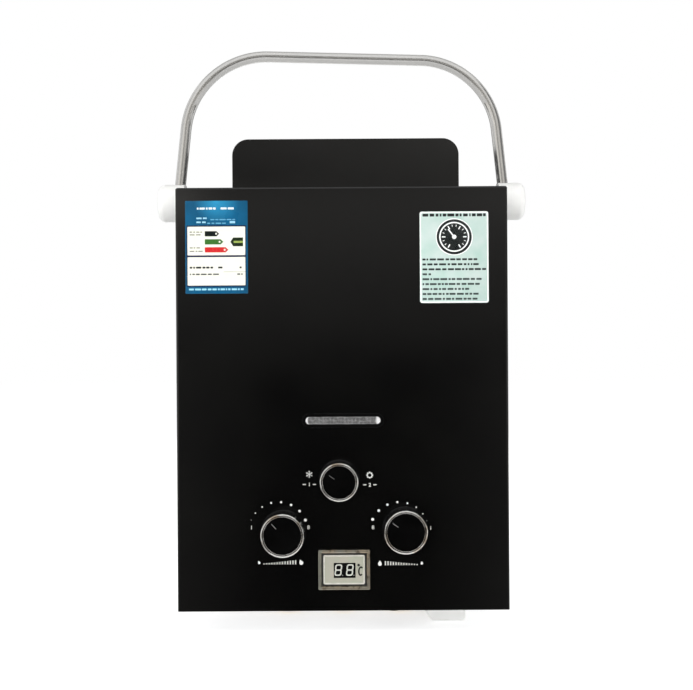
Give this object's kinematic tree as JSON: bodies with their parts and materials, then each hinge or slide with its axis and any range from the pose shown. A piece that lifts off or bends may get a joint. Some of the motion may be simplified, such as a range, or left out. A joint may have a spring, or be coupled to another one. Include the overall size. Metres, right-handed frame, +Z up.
{
  "type": "portable propane water heater",
  "caption": "Slim black sheet-metal case with front control knobs, display and flame window, rain hood on top, swinging tube handle and threaded tails below.",
  "frame": {"origin": "bottom centre of the back plate's rear face, on the wall plane", "axes": "+X to the right seen from the front, +Y from the front panel into the wall, +Z up"},
  "size_m": [0.342, 0.152, 0.5278],
  "materials": {
    "black_powder_coat": "satin powder coat, slight texture",
    "galvanised_steel": "zinc-coated sheet",
    "stainless_tube": "satin drawn stainless tube",
    "steel_hardware": "zinc-plated screws",
    "white_plastic": "moulded white, soft gloss",
    "black_plastic": "moulded black, soft gloss",
    "chrome_trim": "bright plated",
    "mesh_metal": "fine punched steel",
    "lcd_plate": "pale display plate",
    "circuit_board": "green lacquered board",
    "sticker_blue": "printed gloss film",
    "sticker_mint": "printed gloss film",
    "copper": "drawn copper, heat-tinted",
    "brass": "turned brass",
    "cast_alloy": "die-cast alloy",
    "burner_steel": "pressed stainless sheet",
    "black_rubber": "moulded rubber",
    "white_ceramic": "glazed ceramic",
    "battery_jacket": "printed steel can"
  },
  "bodies": {
    "case": {"front_cover": "black_powder_coat", "rain_cap": "black_powder_coat", "back_plate": "galvanised_steel", "bottom_pan": "galvanised_steel", "exhaust_grille": "galvanised_steel", "exhaust_hood": "galvanised_steel", "handle_brackets": "galvanised_steel", "case_screws": "steel_hardware", "pivot_screws": "steel_hardware", "hinge_pin": "steel_hardware", "pivot_washers": "black_plastic", "window_rim": "chrome_trim", "window_mesh": "mesh_metal", "display_bezel": "chrome_trim", "display_plate": "lcd_plate", "display_board": "circuit_board", "left_sticker": "sticker_blue", "right_sticker": "sticker_mint", "burner_blades": "burner_steel", "burner_frame": "burner_steel", "gas_manifold": "cast_alloy", "gas_nozzles": "brass", "gas_valve_body": "cast_alloy", "solenoid_valve": "steel_hardware", "gas_riser": "copper", "gas_inlet": "brass", "exchanger_jacket": "copper", "exchanger_fins": "copper", "exchanger_tube": "copper", "cold_pipe": "copper", "hot_pipe": "copper", "exchanger_straps": "galvanised_steel", "water_valve_body": "brass", "water_valve_cover": "brass", "water_diaphragm": "black_rubber", "micro_switch": "black_plastic", "cold_inlet": "brass", "hot_outlet": "brass", "drain_plug": "black_plastic", "battery_box": "white_plastic", "battery_cells": "battery_jacket", "battery_contacts": "steel_hardware", "igniter_module": "black_plastic", "electrodes": "white_ceramic"},
    "handle": {"handle_tube": "stainless_tube", "handle_socket_left": "white_plastic", "handle_socket_right": "white_plastic", "pivot_caps": "white_plastic"},
    "gas_knob": {"gas_knob": "black_plastic", "gas_knob_ring": "chrome_trim", "gas_knob_shaft": "brass"},
    "water_knob": {"water_knob": "black_plastic", "water_knob_ring": "chrome_trim", "water_knob_shaft": "brass"},
    "season_knob": {"season_knob": "black_plastic", "season_knob_ring": "chrome_trim", "season_knob_shaft": "brass"},
    "push_rod": {"push_rod": "steel_hardware"},
    "battery_door": {"battery_door": "white_plastic", "door_contact": "steel_hardware"}
  },
  "joints": [
    {"name": "handle_swing", "type": "hinge", "parent": "case", "child": "handle", "pos_m": [0, -0.065, 0.365], "axis": [1, 0, 0], "range_deg": [-50, 50]},
    {"name": "gas_knob_turn", "type": "hinge", "parent": "case", "child": "gas_knob", "pos_m": [-0.052, -0.13, 0.0694], "axis": [0, 1, 0], "range_deg": [-26, 110]},
    {"name": "water_knob_turn", "type": "hinge", "parent": "case", "child": "water_knob", "pos_m": [0.0535, -0.13, 0.0716], "axis": [0, 1, 0], "range_deg": [-14, 123]},
    {"name": "season_knob_turn", "type": "hinge", "parent": "case", "child": "season_knob", "pos_m": [-0.0033, -0.13, 0.1147], "axis": [0, 1, 0], "range_deg": [0, 110]},
    {"name": "push_rod_slide", "type": "slide", "parent": "case", "child": "push_rod", "axis": [-1, 0, 0], "range_m": [0, 0.003], "stiffness_N_per_m": 800},
    {"name": "battery_door_swing", "type": "hinge", "parent": "case", "child": "battery_door", "pos_m": [0.1136, -0.049, -0.004], "axis": [0, -1, 0], "range_deg": [0, 95]}
  ]
}
